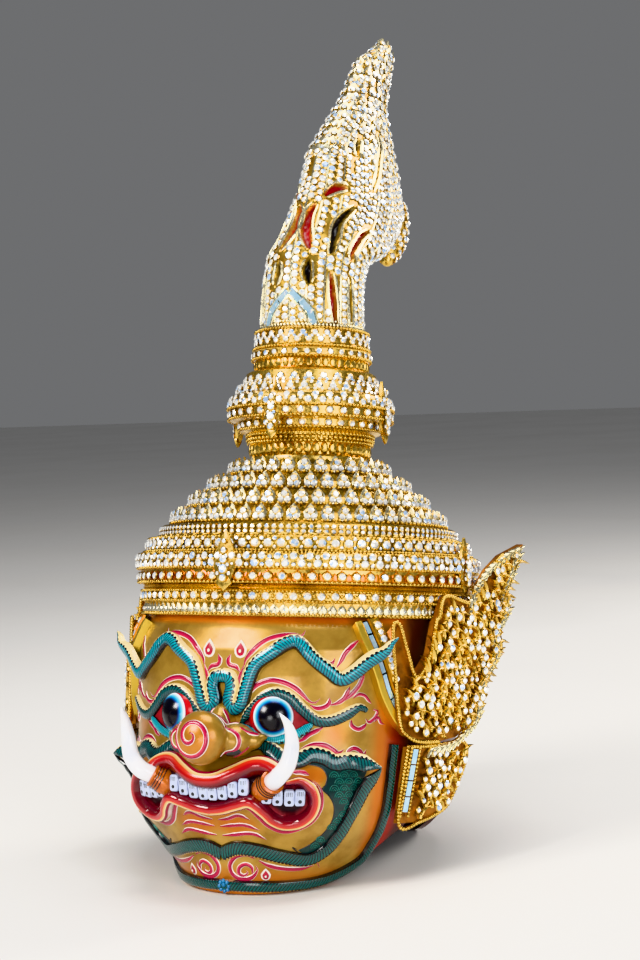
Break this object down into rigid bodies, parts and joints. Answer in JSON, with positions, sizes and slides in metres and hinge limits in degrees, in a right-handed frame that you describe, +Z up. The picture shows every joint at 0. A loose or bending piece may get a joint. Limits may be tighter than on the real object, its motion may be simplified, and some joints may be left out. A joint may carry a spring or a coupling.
{
  "type": "crowned ceremonial demon mask",
  "caption": "Crowned demon mask of the Thai masked dance: a hollow lacquered helmet with tusks, tiered jewelled crown, leaning flame finial and gilded ear ornaments.",
  "frame": {"origin": "middle of the mask's bounding box in plan, on the level surface that it stands on", "axes": "+Z up, -Y the way that the face looks, +X to the mask's own left ear"},
  "size_m": [0.2942, 0.3756, 0.6098],
  "materials": {
    "face_lacquer": "gilt lacquer on papier-mache, painted in colours, satin to glossy",
    "gilding": "bright gold leaf over moulded lacquer, set with small glass stones",
    "tusk": "smooth polished white, like shell or bone",
    "stones": "small faceted clear and frosted stones with foil behind",
    "mirror": "small flat pieces of mirror glass",
    "green_paint": "dark blue-green gloss paint with fine stripes",
    "red_paint": "crimson gloss paint",
    "white_paint": "white gloss paint",
    "eye": "glossy painted eye, white to blue with a black pupil",
    "inside": "bare brown papier-mache inside"
  },
  "bodies": {
    "root": {"mask_head": "face_lacquer", "tusk_left": "tusk", "tusk_right": "tusk", "crown_band": "gilding", "crown_tiers": "gilding", "crown_bulb": "gilding", "finial_collar": "gilding", "finial_plume": "gilding", "ear_ornament_left": "gilding", "ear_ornament_right": "gilding", "ear_panel_left": "gilding", "ear_panel_right": "gilding"}
  },
  "joints": []
}
